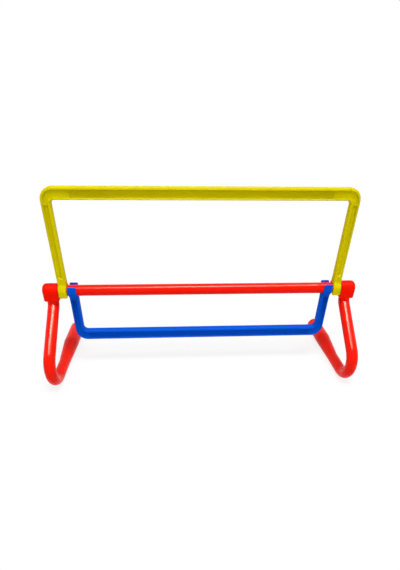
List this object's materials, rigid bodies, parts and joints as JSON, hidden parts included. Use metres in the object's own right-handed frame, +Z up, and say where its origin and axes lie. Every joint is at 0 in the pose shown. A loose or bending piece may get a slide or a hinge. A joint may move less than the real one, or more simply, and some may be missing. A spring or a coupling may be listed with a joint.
{
  "type": "speed hurdle",
  "caption": "Agility training hurdle: a low round bar on bent tube legs, with an upper and a lower U-shaped frame clipped on the bar, each turning to set a different height.",
  "frame": {"origin": "on the floor, under the middle of the overall box", "axes": "+X along the crossbar to the right as seen in the picture, +Y away from the viewer, +Z up"},
  "size_m": [0.5222, 0.2011, 0.3018],
  "materials": {
    "red_tube": "gloss, extruded tube",
    "red_block": "satin gloss, moulded",
    "red_leg": "high gloss, moulded",
    "red_plug": "satin, moulded",
    "screw_steel": "dark zinc plated",
    "yellow_frame": "satin gloss, moulded",
    "blue_frame": "satin gloss, moulded"
  },
  "bodies": {
    "stand": {"crossbar": "red_tube", "left_end_block": "red_block", "right_end_block": "red_block", "left_leg": "red_leg", "right_leg": "red_leg", "left_foot_plug": "red_plug", "right_foot_plug": "red_plug", "clamp_screws": "screw_steel"},
    "upper_frame": {"upper_frame": "yellow_frame"},
    "lower_frame": {"lower_frame": "blue_frame"}
  },
  "joints": [
    {"name": "upper_frame_turn", "type": "hinge", "parent": "stand", "child": "upper_frame", "pos_m": [0, -0.00675, 0.1434], "axis": [1, 0, 0], "range_deg": [-150, 150]},
    {"name": "lower_frame_turn", "type": "hinge", "parent": "stand", "child": "lower_frame", "pos_m": [0, -0.00675, 0.1434], "axis": [1, 0, 0], "continuous": true}
  ]
}
